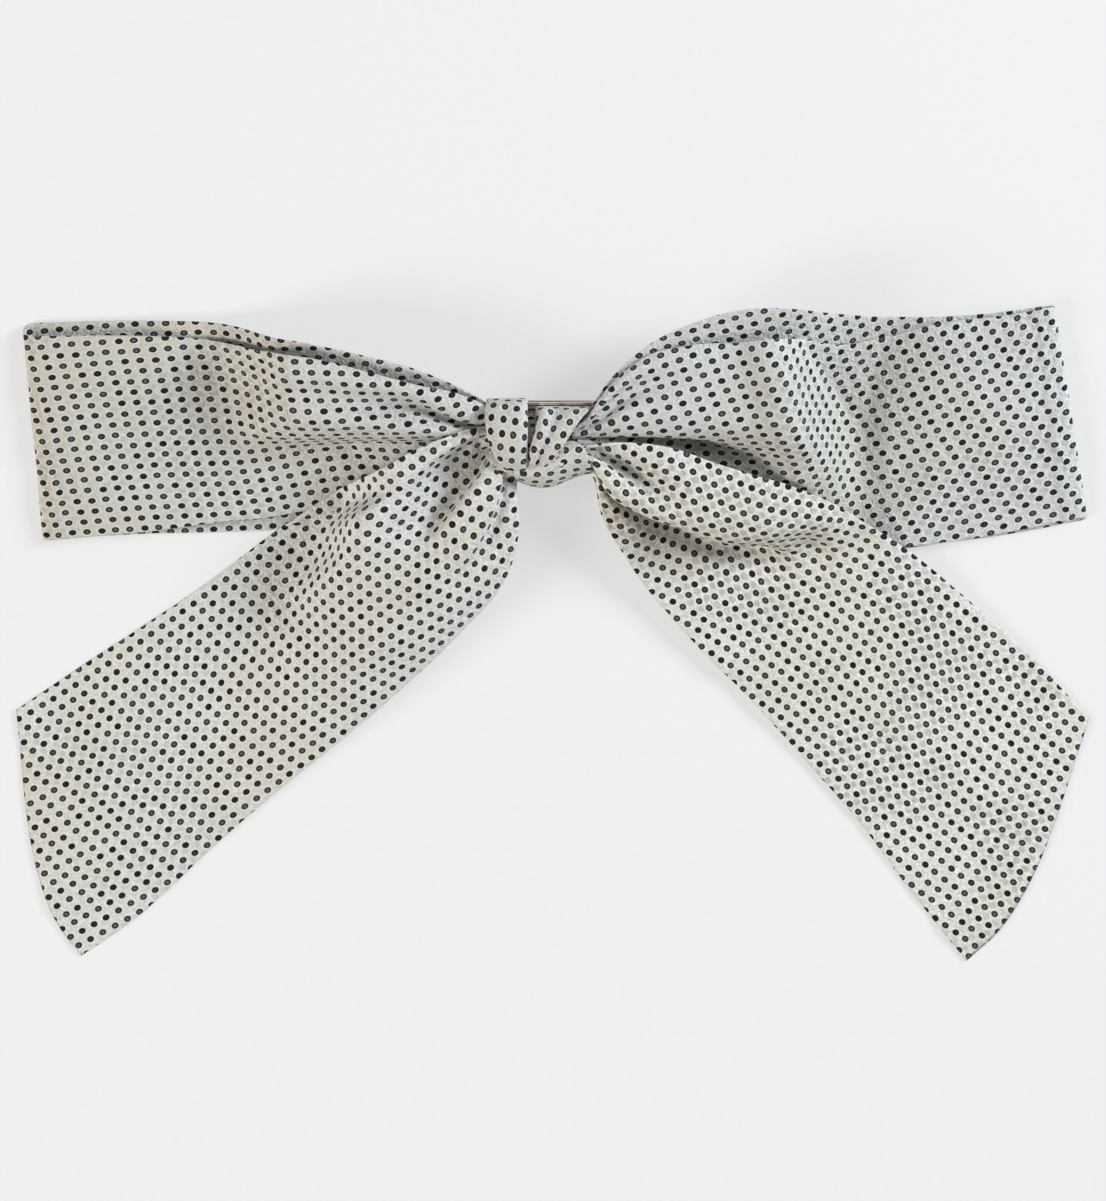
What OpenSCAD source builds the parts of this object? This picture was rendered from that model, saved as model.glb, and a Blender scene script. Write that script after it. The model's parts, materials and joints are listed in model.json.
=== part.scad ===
// Hair bow on a French clip, lying face up. A long soft sash is tied round the clip's arched plate.
// Origin: middle of the closed clasp arm's flat underside. +Z is out of the bow's face, +Y its top.

/* [Fabric] */
// Thickness of the two-ply sash
sash_t = 0.8; // [0.5:0.1:0.9]
// Thickness of the fabric in the knot
knot_t = 0.7; // [0.5:0.1:0.7]
// How far a tail's cut end bulges past its corners
end_bulge = 4; // [0:0.5:6]

/* [Clip plate] */
// Length of the plate along the bow
plate_l = 80; // [80:1:84]
// Width of the plate
plate_w = 10; // [9.8:0.1:10]
// Sheet thickness of the plate
plate_t = 0.7; // [0.5:0.1:0.7]
// Radius of the plate's arch, to its top face
arch_r = 160; // [158:1:170]
// Height of the plate's crown over the surface the clip lies on
crown_z = 11.5; // [11.4:0.1:11.6]
// Radius of the plate's corners
corner_r = 2; // [1:0.5:4]

/* [Clasp arm] */
// Width of the arm's flat middle
arm_w = 6; // [5:0.5:6]
// Sheet thickness of the arm
arm_t = 0.7; // [0.5:0.1:0.8]
// Height of the raised catch end over the flat middle
arm_lift = 3; // [2.9:0.05:3.1]
// Half width of the window that the prongs pass through
window_y = 2.55; // [2.5:0.05:2.8]

/* [Hinge] */
// Distance from the middle of the clip to the hinge pin
pin_x = 36.5; // [36:0.5:37]
// Height of the hinge pin
pin_z = 3.4; // [3.3:0.1:3.5]
// Radius of the hinge pin
pin_r = 0.8; // [0.6:0.05:0.9]
// Radial running clearance of the arm's barrel on the pin
pin_gap = 0.06; // [0.02:0.01:0.1]

/* [Spring and catch] */
// Width of the bowed leaf spring
spring_w = 4; // [3:0.5:5]
// Sheet thickness of the leaf spring
spring_t = 0.4; // [0.3:0.05:0.5]
// Rise of the leaf spring over its chord
spring_rise = 3.3; // [2.5:0.1:3.4]
// Width of each catch prong along the clip
prong_w = 4; // [3:0.5:5]
// Sheet thickness of the prongs
prong_t = 0.5; // [0.4:0.05:0.5]

/* [Hidden] */
$fn = 48;
ARCH_FN = 1440;             // facets of the large arch cylinders
SEAT = 0.05;                // gap between sheets that lie on each other
SHEET = 0.5;                // thickness of the bracket and catch sheets
cloth = [0.86, 0.85, 0.82];
metal = [0.80, 0.60, 0.50];
steel = [0.72, 0.70, 0.68];

// ---------------------------------------------------------------- curves
// Catmull-Rom curve through the points p, with t from 0 to 1 over all of them.
function knot_at(p, i) =
    i < 0 ? 2 * p[0] - p[1] :
    i > len(p) - 1 ? 2 * p[len(p) - 1] - p[len(p) - 2] : p[i];
function spline(p, t) =
    let (s = min(max(t, 0), 1) * (len(p) - 1),
         i = min(floor(s), len(p) - 2),
         f = s - i,
         a = knot_at(p, i - 1), b = knot_at(p, i),
         c = knot_at(p, i + 1), d = knot_at(p, i + 2))
    0.5 * (2 * b + f * (c - a) + f * f * (2 * a - 5 * b + 4 * c - d)
           + f * f * f * (3 * b - a - 3 * c + d));
function unit(v) = v / norm(v);

// Side view of a sheet bent along the middle line p, with mitred corners
function normal_of(a, b) = let (d = unit(b - a)) [-d[1], d[0]];
function mitre(p, i) =
    let (before = normal_of(p[max(i, 1) - 1], p[max(i, 1)]),
         after = normal_of(p[min(i, len(p) - 2)], p[min(i, len(p) - 2) + 1]),
         m = unit(before + after))
    m / (m * before);
module bent_sheet(p, thick) {
    last = len(p) - 1;
    polygon(concat([for (i = [0 : last]) p[i] + mitre(p, i) * thick / 2],
                   [for (i = [last : -1 : 0]) p[i] - mitre(p, i) * thick / 2]));
}

// ---------------------------------------------------------------- ribbons
// A ribbon is a list of rows, each a pair of 3-D points: the ribbon's two edges at that place.
// swell lifts the middle of the last row along its own travel, for a bulging cut end.
module ribbon(rows, thick, across = 6, swell = 0) {
    n = len(rows);
    m = across + 1;
    out = unit(rows[n - 1][0] + rows[n - 1][1] - rows[n - 2][0] - rows[n - 2][1]);
    grid = [for (i = [0 : n - 1]) [for (j = [0 : across])
        let (v = j / across, u = i / (n - 1))
        rows[i][0] * (1 - v) + rows[i][1] * v + out * swell * pow(u, 12) * sin(180 * v)]];
    side = [for (i = [0 : n - 1]) [for (j = [0 : across])
        let (along = grid[min(i + 1, n - 1)][j] - grid[max(i - 1, 0)][j],
             over = grid[i][min(j + 1, across)] - grid[i][max(j - 1, 0)])
        unit(cross(along, over)) * thick / 2]];
    points = concat(
        [for (i = [0 : n - 1]) for (j = [0 : across]) grid[i][j] + side[i][j]],
        [for (i = [0 : n - 1]) for (j = [0 : across]) grid[i][j] - side[i][j]]);
    back = n * m;
    // Two triangles for each four-cornered face
    function two(a, b, c, d) = [[a, b, c], [a, c, d]];
    faces = concat(
        [for (i = [0 : n - 2]) for (j = [0 : across - 1])
            let (a = i * m + j) each two(a, a + 1, a + m + 1, a + m)],
        [for (i = [0 : n - 2]) for (j = [0 : across - 1])
            let (a = back + i * m + j) each two(a, a + m, a + m + 1, a + 1)],
        [for (i = [0 : n - 2]) let (a = i * m) each two(a, a + m, back + a + m, back + a)],
        [for (i = [0 : n - 2]) let (a = i * m + across)
            each two(a, back + a, back + a + m, a + m)],
        [for (j = [0 : across - 1]) each two(j, back + j, back + j + 1, j + 1)],
        [for (j = [0 : across - 1]) let (a = (n - 1) * m + j)
            each two(a, a + 1, back + a + 1, back + a)]);
    polyhedron(points, faces);
}

// Rows of a strip between two edge curves.
function strip_rows(low, high, n) = [for (i = [0 : n]) [spline(low, i / n), spline(high, i / n)]];

// Rows of a loop: out along the table, round a tight fold, and back over itself.
// The plan edges are shared, and under and over are the heights of the two layers.
function loop_row(low, high, u, z) =
    [concat(spline(low, u), [z]), concat(spline(high, u), [z])];
function loop_rows(low, high, under, over, n, turns) =
    let (gap = spline(over, 1) - spline(under, 1), mid = spline(under, 1) + gap / 2,
         last = loop_row(low, high, 1, mid), before = loop_row(low, high, 1 - 1 / n, mid),
         out = unit(last[0] + last[1] - before[0] - before[1]))
    concat(
        [for (i = [0 : n]) loop_row(low, high, i / n, spline(under, i / n))],
        [for (k = [1 : turns - 1]) let (a = 180 * k / turns,
            shift = out * sin(a) * gap / 2 - [0, 0, cos(a) * gap / 2])
            [last[0] + shift, last[1] + shift]],
        [for (i = [n : -1 : 0]) loop_row(low, high, i / n, spline(over, i / n))]);

// ---------------------------------------------------------------- sash
LOOP_STEPS = 18;
FOLD_STEPS = 6;
TAIL_STEPS = 26;

// Plan of each loop's bottom and top edge, from the knot outwards
left_low = [[-10, -4.5], [-21, -9], [-34, -15], [-48, -21.5], [-64, -25.5], [-80, -26.5],
            [-97, -27], [-112, -28.5]];
left_high = [[-10, 6], [-21, 10.5], [-34, 14.5], [-50, 18], [-68, 22], [-88, 23],
             [-105, 22], [-118, 20.5]];
right_low = [[10, -4], [22, -8], [36, -15], [52, -23.5], [70, -29.5], [86, -30],
             [105, -27], [122.5, -23.5]];
right_high = [[10, 6.5], [19, 13.5], [30, 22], [46, 26.5], [64, 25.8], [82, 24.3],
              [100, 23.5], [116, 26]];
// Heights of a loop's under and over layer, from the knot outwards
loop_under = [12.8, 12.3, 9.8, 5, 1.6, 0.7, 0.45, 0.45];
loop_over = [14.6, 15, 14.2, 12.4, 9.5, 6.5, 4.2, 3.2];

module loop_of(low, high) {
    color(cloth)
        ribbon(loop_rows(low, high, loop_under, loop_over, LOOP_STEPS, FOLD_STEPS), sash_t);
}
module left_loop() { loop_of(left_low, left_high); }
module right_loop() { loop_of(right_high, right_low); }

// Edges of each tail, from the knot to its cut end
left_tail_in = [[-6.5, -9.5, 16], [-5.5, -19, 14.6], [-6, -29, 11.4], [-9.5, -39, 7.6],
                [-16.5, -49, 4], [-28, -63, 1.4], [-48.5, -80.5, 0.5], [-78.5, -106, 0.5],
                [-106.5, -126, 0.5]];
left_tail_out = [[-12.5, 0.5, 16.4], [-23, -2.5, 16.8], [-32.5, -7.5, 16.6], [-44, -14, 15.6],
                 [-58, -21, 13], [-76, -35, 6], [-92, -46.5, 1.6], [-107, -58, 0.5],
                 [-121, -68.5, 0.5]];
right_tail_in = [[12, -9.5, 15.8], [13, -18, 15.2], [18.5, -30, 13], [27.5, -44, 9.6],
                 [41, -63, 4.6], [59.5, -84.5, 1.2], [78, -104, 0.5], [99, -127.5, 0.5]];
right_tail_out = [[12.5, -2.5, 16.6], [28, -3.5, 17.4], [40, -7, 17.2], [53, -12.5, 16],
                  [69, -19, 13.8], [85, -31, 8.2], [105.5, -48, 1.6], [126.5, -70, 0.5]];

module left_tail() {
    color(cloth)
        ribbon(strip_rows(left_tail_in, left_tail_out, TAIL_STEPS), sash_t, 8, end_bulge);
}
module right_tail() {
    color(cloth)
        ribbon(strip_rows(right_tail_out, right_tail_in, TAIL_STEPS), sash_t, 8, end_bulge);
}

// ---------------------------------------------------------------- knot
KNOT_STEPS = 32;
core_y = -1;
core_z = 15.8;
core_r = 6;

// Gathered cloth inside the knot: two flattened balls blended into one bundle
module knot_core() {
    color(cloth)
        hull()
            for (x = [-6, 6])
                translate([x, core_y, core_z]) scale([0.4, 1, 0.56]) sphere(core_r, $fn = 32);
}

// The knot's strips go round the bundle. Each row is [y, z, left x, right x].
function knot_rows(path) = [for (i = [0 : KNOT_STEPS]) let (p = spline(path, i / KNOT_STEPS))
    [[p[2], p[0], p[1]], [p[3], p[0], p[1]]]];

// Strap that goes over the left half of the knot and round the clip's plate
wrap_path = [[-3.6, 9.7, -9, -1], [0, 9.7, -10, -0.8], [4, 9.7, -11, -0.6],
             [6.5, 10.4, -11.6, -0.4], [7.5, 13.5, -12, -0.3], [7, 17, -12.2, -0.2],
             [5, 20.2, -12.2, 0], [1.5, 21.9, -12, 0], [-2.5, 21.8, -10.8, 0],
             [-6.5, 20, -7.4, 0], [-9.6, 17, -4.4, 0], [-10.6, 14, -3.6, 0],
             [-9.4, 11, -4, -0.4], [-7, 9.8, -6, -0.8], [-5, 9.7, -7, -1]];
// Pleat that comes out over the knot's right half and narrows to the middle
fold_path = [[5.6, 14.5, 1.4, 9.4], [6.9, 17.2, 1, 11.4], [4.8, 20.1, 0.8, 12.4],
             [1.5, 21.7, 0.8, 11.2], [-2.5, 21.7, 0.8, 8.4], [-6.4, 20.2, 0.8, 5.4],
             [-9.7, 16.9, 0.8, 2.8]];
// Band that shows under the pleat at the lower right
band_path = [[1, 20.1, 0.8, 9.5], [-2.5, 20.1, 0.8, 10.5], [-6, 18.6, 0.8, 10.8],
             [-8.4, 15.8, 0.8, 10.6], [-8.5, 12.8, 0.8, 10]];

module knot_wrap() { color(cloth) ribbon(knot_rows(wrap_path), knot_t, 4); }
module knot_fold() { color(cloth) ribbon(knot_rows(fold_path), knot_t, 4); }
module knot_band() { color(cloth) ribbon(knot_rows(band_path), knot_t, 4); }

// Threads that close the strap's two ends behind the plate
STITCHES = 5;
stitch_r = 0.2;
stitch_l = 3.2;
stitch_y = -4.3;
stitch_z = 9.1;
module wrap_stitches() {
    color(steel)
        for (i = [0 : STITCHES - 1])
            translate([-7.4 + 1.4 * i, stitch_y, stitch_z])
                rotate([90, 0, 0]) cylinder(r = stitch_r, h = stitch_l, center = true);
}

// ---------------------------------------------------------------- clip plate
arch_z = crown_z - arch_r;

// A sheet bent to the arch, between two radii
module arch_sheet(r_out, r_in) {
    translate([0, 0, arch_z]) rotate([90, 0, 0])
        difference() {
            cylinder(r = r_out, h = 2 * plate_w, center = true, $fn = ARCH_FN);
            cylinder(r = r_in, h = 2 * plate_w + 1, center = true, $fn = ARCH_FN);
        }
}

// Puts its children on the arch's top face at x, with their +Z along the arch's radius
module on_arch(x) {
    translate([0, 0, arch_z]) rotate([0, asin(x / arch_r), 0]) translate([0, 0, arch_r])
        children();
}

// Rounded rectangle from x0 to x1, w wide, with corners of radius r
module rounded(x0, x1, w, r) {
    hx = (x1 - x0) / 2;
    translate([(x0 + x1) / 2, 0])
        union() {
            square([2 * hx - 2 * r, w], center = true);
            square([2 * hx, w - 2 * r], center = true);
            for (sx = [-1, 1]) for (sy = [-1, 1])
                translate([sx * (hx - r), sy * (w / 2 - r)]) circle(r);
        }
}

rivet_r = 0.6;
rivet_xs = [-39, -32.5, 29.6, 36.9];
TALL = 30;                  // height of a prism that trims an arched sheet

module plate_holes() {
    for (x = rivet_xs) on_arch(x) cylinder(r = rivet_r + 0.02, h = 8, center = true);
}

module clip_plate() {
    color(metal)
        difference() {
            intersection() {
                arch_sheet(arch_r, arch_r - plate_t);
                linear_extrude(TALL) rounded(-plate_l / 2, plate_l / 2, plate_w, corner_r);
            }
            plate_holes();
        }
}

// ---------------------------------------------------------------- brackets on the plate
seat_r = arch_r - plate_t - SEAT;
ear_y = 3.5;
ear_t = 0.6;
ear_r = 1.7;

// Sheet seated under the plate between x0 and x1
module seat_sheet(x0, x1, w) {
    intersection() {
        arch_sheet(seat_r, seat_r - SHEET);
        linear_extrude(TALL) rounded(x0, x1, w, 0.6);
    }
}

// Everything below the seat sheet's top face
module under_seat() {
    translate([0, 0, arch_z]) rotate([90, 0, 0])
        cylinder(r = seat_r, h = 2 * plate_w, center = true, $fn = ARCH_FN);
}

module hinge_bracket() {
    color(metal)
        difference() {
            union() {
                seat_sheet(-39.9, -31.4, 2 * (ear_y + ear_t));
                intersection() {
                    under_seat();
                    for (side = [-1, 1])
                        translate([0, side * (ear_y + ear_t / 2), 0]) rotate([90, 0, 0])
                            linear_extrude(ear_t, center = true) {
                                translate([-pin_x, pin_z]) circle(ear_r);
                                polygon([[-pin_x - ear_r, pin_z], [-pin_x + ear_r, pin_z],
                                         [-pin_x + ear_r + 1, 8], [-pin_x - ear_r - 1, 8]]);
                            }
                }
            }
            translate([-pin_x, 0, pin_z]) rotate([90, 0, 0])
                cylinder(r = pin_r + 0.01, h = 12, center = true);
            plate_holes();
        }
}

PIN_HEAD = 0.4;
module hinge_pin() {
    pin_l = 2 * (ear_y + ear_t + SEAT);
    color(steel)
        translate([-pin_x, 0, pin_z]) rotate([90, 0, 0]) {
            cylinder(r = pin_r, h = pin_l, center = true);
            for (side = [-1, 1])
                translate([0, 0, side * (pin_l + PIN_HEAD) / 2])
                    cylinder(r = pin_r + 0.45, h = PIN_HEAD, center = true);
        }
}

// ---------------------------------------------------------------- catch
catch_x = 33;
pivot_y = 1.2;
pivot_z = 5.8;
pivot_r = 0.45;
lip_z = pivot_z + pivot_r + 0.07;

// Riveted sheet with two lips, from which the prongs are bent down
module catch_base() {
    color(metal)
        difference() {
            union() {
                seat_sheet(28.4, 38.2, 6.4);
                intersection() {
                    under_seat();
                    for (side = [-1, 1])
                        translate([catch_x - prong_w / 2, side * pivot_y - pivot_r, lip_z])
                            cube([prong_w, 2 * pivot_r, 3]);
                }
            }
            plate_holes();
        }
}

// Middle line of a prong's side view, [y, z]: neck, barb, waist and finger tip
prong_line = [[pivot_y, pivot_z], [1.5, 4.4], [2.15, 2.62], [1.72, 1.9], [2.15, 0.45]];
module prong() {
    translate([catch_x, 0, 0]) rotate([90, 0, 90]) {
        linear_extrude(prong_w, center = true) bent_sheet(prong_line, prong_t);
        translate([pivot_y, pivot_z]) cylinder(r = pivot_r, h = prong_w, center = true);
    }
}
module catch_prong_top() { color(metal) prong(); }
module catch_prong_bottom() { color(metal) mirror([0, 1, 0]) prong(); }

module clip_rivets() {
    head_r = 1.05;
    head_t = 0.3;
    sheets = plate_t + SEAT + SHEET;
    color(steel)
        for (x = rivet_xs) on_arch(x) {
            translate([0, 0, -sheets - SEAT]) cylinder(r = rivet_r, h = sheets + 2 * SEAT);
            translate([0, 0, SEAT]) cylinder(r = head_r, h = head_t);
            translate([0, 0, -sheets - SEAT - head_t]) cylinder(r = head_r, h = head_t);
        }
}

// ---------------------------------------------------------------- clasp arm
barrel_r = 1.5;
barrel_l = 6.6;
step_z = pin_z - barrel_r;  // underside of the arm where it meets the barrel
window_x0 = 28.8;
window_x1 = 37.4;
rail = 1.5;                 // width of the frame round the window

tab_x = -26.8;              // middle of the leaf spring's riveted tab

// Strip joggled down from the barrel, flat along the table, and raised to the window
arm_line = [[-pin_x, step_z + arm_t / 2], [-33.4, step_z + arm_t / 2], [-30.4, arm_t / 2],
            [25.2, arm_t / 2], [28.6, arm_lift + arm_t / 2], [30, arm_lift + arm_t / 2]];
module clasp_arm() {
    color(metal)
        difference() {
            union() {
                rotate([90, 0, 0])
                    linear_extrude(arm_w, center = true) bent_sheet(arm_line, arm_t);
                translate([-pin_x, 0, pin_z]) rotate([90, 0, 0])
                    cylinder(r = barrel_r, h = barrel_l, center = true);
                translate([0, 0, arm_lift]) linear_extrude(arm_t)
                    rounded(window_x0, window_x1, 2 * (window_y + rail), 1.4);
            }
            translate([-pin_x, 0, pin_z]) rotate([90, 0, 0])
                cylinder(r = pin_r + pin_gap, h = 2 * barrel_l, center = true);
            translate([catch_x, 0, arm_lift + arm_t / 2])
                cube([prong_w + 1.4, 2 * window_y, 2 * arm_t], center = true);
            translate([tab_x, 0, 0]) cylinder(r = rivet_r + 0.02, h = TALL, center = true);
        }
}

// ---------------------------------------------------------------- leaf spring
spring_x = 25;              // half length of the bowed part
spring_foot = arm_t + SEAT + spring_t;
spring_r = (pow(spring_x, 2) + pow(spring_rise, 2)) / (2 * spring_rise);
tab_l = 3.6;

// Bowed strip, free at the catch end, with a flat tab riveted to the arm at the hinge end
module leaf_spring() {
    color(steel)
        difference() {
            union() {
                intersection() {
                    translate([0, 0, spring_foot + spring_rise - spring_r]) rotate([90, 0, 0])
                        difference() {
                            cylinder(r = spring_r, h = spring_w, center = true, $fn = ARCH_FN);
                            cylinder(r = spring_r - spring_t, h = spring_w + 1, center = true,
                                     $fn = ARCH_FN);
                        }
                    translate([-spring_x, -spring_w / 2, arm_t + SEAT])
                        cube([2 * spring_x, spring_w, 10]);
                }
                translate([tab_x - tab_l / 2, -spring_w / 2, arm_t + SEAT])
                    cube([tab_l + 0.6, spring_w, spring_t]);
            }
            translate([tab_x, 0, 0]) cylinder(r = rivet_r + 0.02, h = TALL, center = true);
        }
}

module spring_rivet() {
    head_r = 0.9;
    head_t = 0.3;
    top = spring_foot + SEAT;
    color(steel)
        translate([tab_x, 0, 0]) {
            translate([0, 0, SEAT]) cylinder(r = rivet_r, h = top - SEAT);
            translate([0, 0, top]) cylinder(r = head_r, h = head_t);
        }
}

// ---------------------------------------------------------------- the set
left_loop();
right_loop();
left_tail();
right_tail();
knot_core();
knot_wrap();
knot_fold();
knot_band();
wrap_stitches();
clip_plate();
hinge_bracket();
hinge_pin();
catch_base();
clip_rivets();
clasp_arm();
leaf_spring();
spring_rivet();
catch_prong_top();
catch_prong_bottom();
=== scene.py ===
"""Looks of the hair bow: a sheer dotted sash tied round a metal clip, lying face up.

Lengths are in millimetres until a mesh is made. The camera is tilted towards the bow's top,
so most cloth is laid out by where it is seen: (x, seen y) in the picture plane, plus a height z.
"""
import copy
import json
import math

import bpy
import numpy as np
from mathutils import Matrix, Vector


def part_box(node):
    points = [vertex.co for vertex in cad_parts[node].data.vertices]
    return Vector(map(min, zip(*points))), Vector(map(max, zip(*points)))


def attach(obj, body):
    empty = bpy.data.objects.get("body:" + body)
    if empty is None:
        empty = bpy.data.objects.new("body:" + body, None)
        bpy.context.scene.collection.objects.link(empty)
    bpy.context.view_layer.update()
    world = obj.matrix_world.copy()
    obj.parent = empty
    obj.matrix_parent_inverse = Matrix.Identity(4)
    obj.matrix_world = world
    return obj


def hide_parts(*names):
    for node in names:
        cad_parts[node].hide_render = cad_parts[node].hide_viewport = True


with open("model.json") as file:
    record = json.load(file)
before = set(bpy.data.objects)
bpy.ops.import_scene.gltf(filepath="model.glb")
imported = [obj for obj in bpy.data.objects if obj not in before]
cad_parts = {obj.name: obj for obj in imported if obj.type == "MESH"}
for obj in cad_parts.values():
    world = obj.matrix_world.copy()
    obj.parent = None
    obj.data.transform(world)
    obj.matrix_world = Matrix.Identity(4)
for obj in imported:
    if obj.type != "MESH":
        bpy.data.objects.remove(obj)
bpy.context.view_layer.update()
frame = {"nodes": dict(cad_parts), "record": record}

MM = 0.001
TILT = math.radians(14)         # camera's lean from straight above, towards the bow's top
SEEN_LIFT = 6.1                 # seen y of the frame's origin
VIEW_MID = (2.8, -36.9)         # seen x and y at the middle of the picture
VIEW_WIDE = 254.4               # width of the picture, at the bow
CAMERA_FAR = 2400.0             # distance of the camera
PICTURE = (1106, 1201)          # shape of the picture
SENSOR = 36.0                   # size of the camera's sensor, along the picture's longer side
LIGHT_AIM = (0.0, -0.03, 0.0)   # the place in the bow that both lamps point at, in metres
FLOOR_HALF = 3.0                # half the floor's side, in metres

PLY_HALF = 0.26                 # half the thickness of the two-ply sash
EDGE_ROLL = 0.8                 # how far in the folded edge takes to reach full thickness
CLEAR = 0.75                    # gap between the middles of two layers of sash
PLATE_THICK = 0.7               # sheet thickness of the clip's plate
PLATE_GAP = 0.4                 # gap between the plate and the middle of the sash on it
PLATE_MARGIN = 1.0              # how far past the plate's rim the cloth still lies on it


# ------------------------------------------------------------------ frame and curves
def cad_box(node):
    """Lowest and highest corner of a CAD node, in millimetres."""
    low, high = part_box(node)
    return np.array(low) / MM, np.array(high) / MM


def from_seen(points):
    """Turns (x, seen y, z) into (x, y, z)."""
    placed = np.array(points, float)
    placed[..., 1] = (placed[..., 1] - SEEN_LIFT + placed[..., 2] * math.sin(TILT)) / math.cos(TILT)
    return placed


def through(knots, values, where):
    """Smooth curve through values at the uneven knots, read at where."""
    knots = np.asarray(knots, float)
    values = np.asarray(values, float)
    slope = np.gradient(values, knots, axis=0)
    i = np.clip(np.searchsorted(knots, where, side="right") - 1, 0, len(knots) - 2)
    shape = (-1,) + (1,) * (values.ndim - 1)
    h = (knots[i + 1] - knots[i]).reshape(shape)
    f = (where - knots[i]).reshape(shape) / h
    start = (2 * f**3 - 3 * f**2 + 1) * values[i] + (f**3 - 2 * f**2 + f) * h * slope[i]
    return start + (3 * f**2 - 2 * f**3) * values[i + 1] + (f**3 - f**2) * h * slope[i + 1]


def loft(edge_a, edge_b, folds, rows, cols, end_bow=0.0):
    """Grid of points of a strip of cloth, from stations along it.

    edge_a and edge_b are its two edges, (x, seen y) at each station. Each fold line is
    (share of the flat width, share of the seen width, height), the last two for all
    stations or one for each. end_bow is how far the far end curves outwards in its middle.
    """
    a, b = np.array(edge_a, float), np.array(edge_b, float)
    count = len(a)
    middle = (a + b) / 2
    along = np.concatenate([[0], np.cumsum(np.linalg.norm(np.diff(middle, axis=0), axis=1))])
    lines = []
    for _, share, height in folds:
        share = np.broadcast_to(share, count)[:, None]
        z = np.broadcast_to(height, count)[:, None]
        lines.append(np.hstack([a + (b - a) * share, z]))
    lines = np.stack(lines, axis=1)
    last_share = np.array([np.broadcast_to(share, count)[-1] for _, share, _ in folds])
    outward = (middle[-1] - middle[-2]) / np.linalg.norm(middle[-1] - middle[-2])
    bulge = 4 * last_share * (1 - last_share) * (0.5 + last_share)
    lines[-1, :, :2] += np.outer(bulge, outward) * end_bow
    net = through(along / along[-1], lines, np.linspace(0, 1, rows))
    flat_share = [f[0] for f in folds]
    grid = through(flat_share, net.transpose(1, 0, 2), np.linspace(0, 1, cols)).transpose(1, 0, 2)
    return from_seen(grid)


def sample(grid, at):
    """Values of a grid at fractional (row, column) places."""
    last = np.array(grid.shape[:2]) - 2
    cell = np.clip(at.astype(int), 0, last)
    r, c = cell[..., 0], cell[..., 1]
    fr, fc = (at[..., 0] - r)[..., None], (at[..., 1] - c)[..., None]
    near = grid[r, c] * (1 - fc) + grid[r, c + 1] * fc
    far = grid[r + 1, c] * (1 - fc) + grid[r + 1, c + 1] * fc
    return near * (1 - fr) + far * fr


def evenly(grid, spacing):
    """The same surface with its rows the same distance apart."""
    gaps = np.linalg.norm(np.diff(grid, axis=0), axis=2).mean(axis=1)
    far = np.concatenate([[0], np.cumsum(gaps)])
    rows = int(far[-1] / spacing) + 1
    row_at = np.interp(np.linspace(0, far[-1], rows), far, np.arange(len(far)))
    at = np.stack(np.meshgrid(row_at, np.arange(grid.shape[1]), indexing="ij"), axis=-1)
    return sample(grid, at)


def arc_length(line):
    """Length of a line of points."""
    return float(np.linalg.norm(np.diff(line, axis=0), axis=1).sum())


def mean_size(grid, axis):
    """Mean length of the grid's lines that run along an axis."""
    return float(np.linalg.norm(np.diff(grid, axis=axis), axis=2).sum(axis=axis).mean())


def flat_of(grid, width):
    """Flat cloth coordinates (along, across) of a grid whose first row is at the knot."""
    rows, cols = grid.shape[:2]
    near, far = arc_length(grid[:, 0]), arc_length(grid[:, -1])
    share = np.linspace(0, 1, cols)
    along = np.linspace(0, 1, rows)[:, None] * (near + (far - near) * share)[None, :]
    across = np.broadcast_to(share * width, (rows, cols))
    return np.stack([along, across], axis=-1)


# ------------------------------------------------------------------ cloth
CELL = 1.5                      # cell of the map of what the cloth lies on
MAP_LOW = (-140.0, -150.0)      # lowest x and y on the map
MAP_CELLS = (190, 150)          # cells of the map along x and y


class Ground:
    """Map of the highest thing under the cloth: the table, the clip's plate, and laid cloth."""

    def __init__(self):
        self.low = np.array(MAP_LOW)
        self.height = np.zeros(MAP_CELLS)
        low, high = cad_box("clip_plate")
        x, y = self.centres()
        half = (high[0] - low[0]) / 2
        top = high[2] - (high[2] - low[2] - PLATE_THICK) * (x / half) ** 2
        on_plate = (abs(x) < half + PLATE_MARGIN) & (abs(y) < high[1] + PLATE_MARGIN)
        self.height[on_plate] = top[on_plate] + PLATE_GAP

    def centres(self):
        """x and y of the middle of every cell."""
        i, j = np.indices(self.height.shape)
        return self.low[0] + (i + 0.5) * CELL, self.low[1] + (j + 0.5) * CELL

    def cells(self, points):
        """The cell that each point is over."""
        i = ((points[..., 0] - self.low[0]) / CELL).astype(int)
        j = ((points[..., 1] - self.low[1]) / CELL).astype(int)
        return np.clip(i, 1, self.height.shape[0] - 2), np.clip(j, 1, self.height.shape[1] - 2)

    def with_cloth(self, points):
        """A copy of this ground with cloth laid on it."""
        laid = copy.copy(self)
        laid.height = self.height.copy()
        i, j = self.cells(points)
        for di in (-1, 0, 1):
            for dj in (-1, 0, 1):
                np.maximum.at(laid.height, (i + di, j + dj), points[..., 2])
        return laid

    def under(self, points):
        """Height of the map below each point."""
        return sample(self.height[..., None], (points[..., :2] - self.low) / CELL - 0.5)[..., 0]


SQUEEZE = 0.15                  # how firmly crepe keeps its length when squeezed, against stretched
RELAX = 0.42                    # share of the push that a point follows in one step
UNFOLD_STEPS = 160              # steps of unfolding at each coarseness
SETTLE_STEPS = 100              # steps of settling
LIFT_EVERY = 8                  # settling steps between two checks of what the cloth lies on
# Links of the cloth's grid: (rows, columns) from one point to the other, and how firm the link is.
LINKS = [((1, 0), 1.0), ((0, 1), 1.0), ((1, 1), 0.45), ((1, -1), 0.45)]
BEND_LINKS = [((2, 0), 0.12), ((0, 2), 0.12)]
RIPPLE_WAVES = 14               # waves that the ripples are made of
RIPPLE_HEIGHT = 0.05            # height of each wave


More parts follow.
